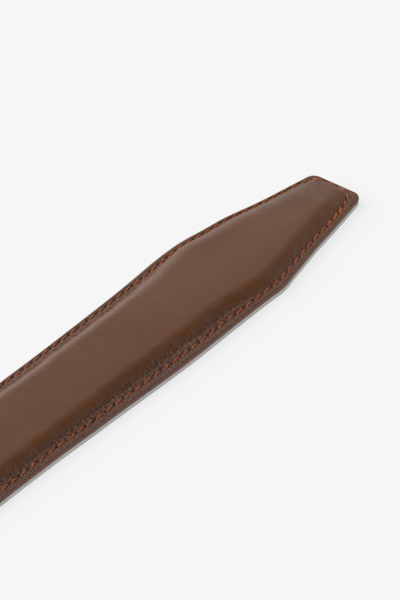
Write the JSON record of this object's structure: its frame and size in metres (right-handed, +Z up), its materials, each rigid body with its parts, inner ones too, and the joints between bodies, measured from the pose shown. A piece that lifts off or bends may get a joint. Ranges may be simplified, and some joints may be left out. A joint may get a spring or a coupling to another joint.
{
  "type": "ratchet belt",
  "caption": "Unfastened padded leather ratchet belt with a tapered stitched tip, a grey backing, a toothed track on its back and a plain metal buckle, lying flat and straight.",
  "frame": {"origin": "under the middle of the whole belt, on the surface that it lies on", "axes": "+X along the belt towards its pointed tip, +Y across it, +Z up out of its face"},
  "size_m": [1.18, 0.04, 0.0146],
  "materials": {
    "upper_leather": "smooth brown full-grain leather, satin",
    "backing_leather": "grey split leather, matt",
    "track_nylon": "black moulded nylon, matt",
    "buckle_metal": "satin nickel-plated zinc, brushed"
  },
  "bodies": {
    "root": {"strap_upper": "upper_leather", "strap_backing": "backing_leather", "ratchet_track": "track_nylon", "buckle": "buckle_metal"}
  },
  "joints": []
}
